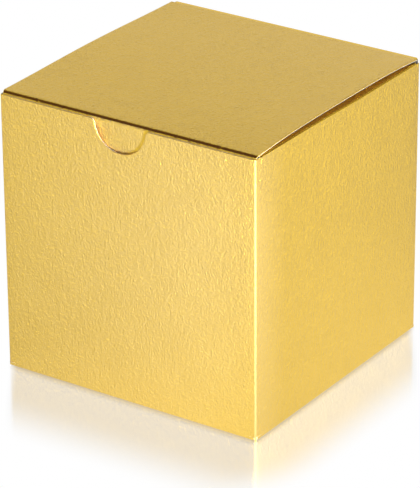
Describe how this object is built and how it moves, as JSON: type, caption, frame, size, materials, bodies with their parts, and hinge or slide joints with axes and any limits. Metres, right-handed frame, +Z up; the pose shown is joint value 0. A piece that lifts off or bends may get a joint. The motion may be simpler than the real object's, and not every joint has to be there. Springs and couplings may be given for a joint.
{
  "type": "favor box",
  "caption": "Cube gift carton of embossed gold foil card with a tuck-top lid, a thumb notch in the front, dust flaps and a snap-lock bottom, for party favors.",
  "frame": {"origin": "centre of the box's footprint, on the surface that it stands on", "axes": "+Z up, -Y towards the front wall with the thumb notch, +X to the right seen from the front; the lid is hinged along the back at +Y"},
  "size_m": [0.1016, 0.1016, 0.1031],
  "materials": {
    "gold_foil_card": "satin gold foil with a fine crinkle emboss on the outside, plain white board inside and on cut edges",
    "adhesive": "dried clear carton glue"
  },
  "bodies": {
    "carton": {"front_panel": "gold_foil_card", "right_panel": "gold_foil_card", "back_panel": "gold_foil_card", "left_panel": "gold_foil_card", "front_left_crease": "gold_foil_card", "front_right_crease": "gold_foil_card", "back_right_crease": "gold_foil_card", "seam_crease": "gold_foil_card", "glue_flap": "gold_foil_card", "seam_glue": "adhesive", "bottom_front_flap": "gold_foil_card", "bottom_back_flap": "gold_foil_card", "bottom_left_flap": "gold_foil_card", "bottom_right_flap": "gold_foil_card", "bottom_front_crease": "gold_foil_card", "bottom_back_crease": "gold_foil_card", "bottom_left_crease": "gold_foil_card", "bottom_right_crease": "gold_foil_card", "left_dust_crease": "gold_foil_card", "right_dust_crease": "gold_foil_card", "lid_crease": "gold_foil_card"},
    "lid": {"lid_panel": "gold_foil_card", "tuck_crease": "gold_foil_card"},
    "tuck": {"tuck_flap": "gold_foil_card"},
    "left_dust": {"left_dust_flap": "gold_foil_card"},
    "right_dust": {"right_dust_flap": "gold_foil_card"}
  },
  "joints": [
    {"name": "lid_hinge", "type": "hinge", "parent": "carton", "child": "lid", "pos_m": [0, 0.05, 0.1008], "axis": [-1, 0, 0], "range_deg": [0, 180], "deforming": ["lid_crease"]},
    {"name": "tuck_fold", "type": "hinge", "parent": "lid", "child": "tuck", "pos_m": [0, -0.04804, 0.0996], "axis": [-1, 0, 0], "range_deg": [0, 90], "deforming": ["tuck_crease"]},
    {"name": "left_dust_fold", "type": "hinge", "parent": "carton", "child": "left_dust", "pos_m": [-0.05, 0, 0.10004], "axis": [0, -1, 0], "range_deg": [0, 90], "deforming": ["left_dust_crease"]},
    {"name": "right_dust_fold", "type": "hinge", "parent": "carton", "child": "right_dust", "pos_m": [0.05, 0, 0.10004], "axis": [0, 1, 0], "range_deg": [0, 90], "deforming": ["right_dust_crease"]}
  ],
  "couplings": [
    {"joint": "tuck_fold", "follows": "lid_hinge", "ratio": 0.5},
    {"joint": "left_dust_fold", "follows": "lid_hinge", "ratio": 0.5},
    {"joint": "right_dust_fold", "follows": "lid_hinge", "ratio": 0.5}
  ]
}
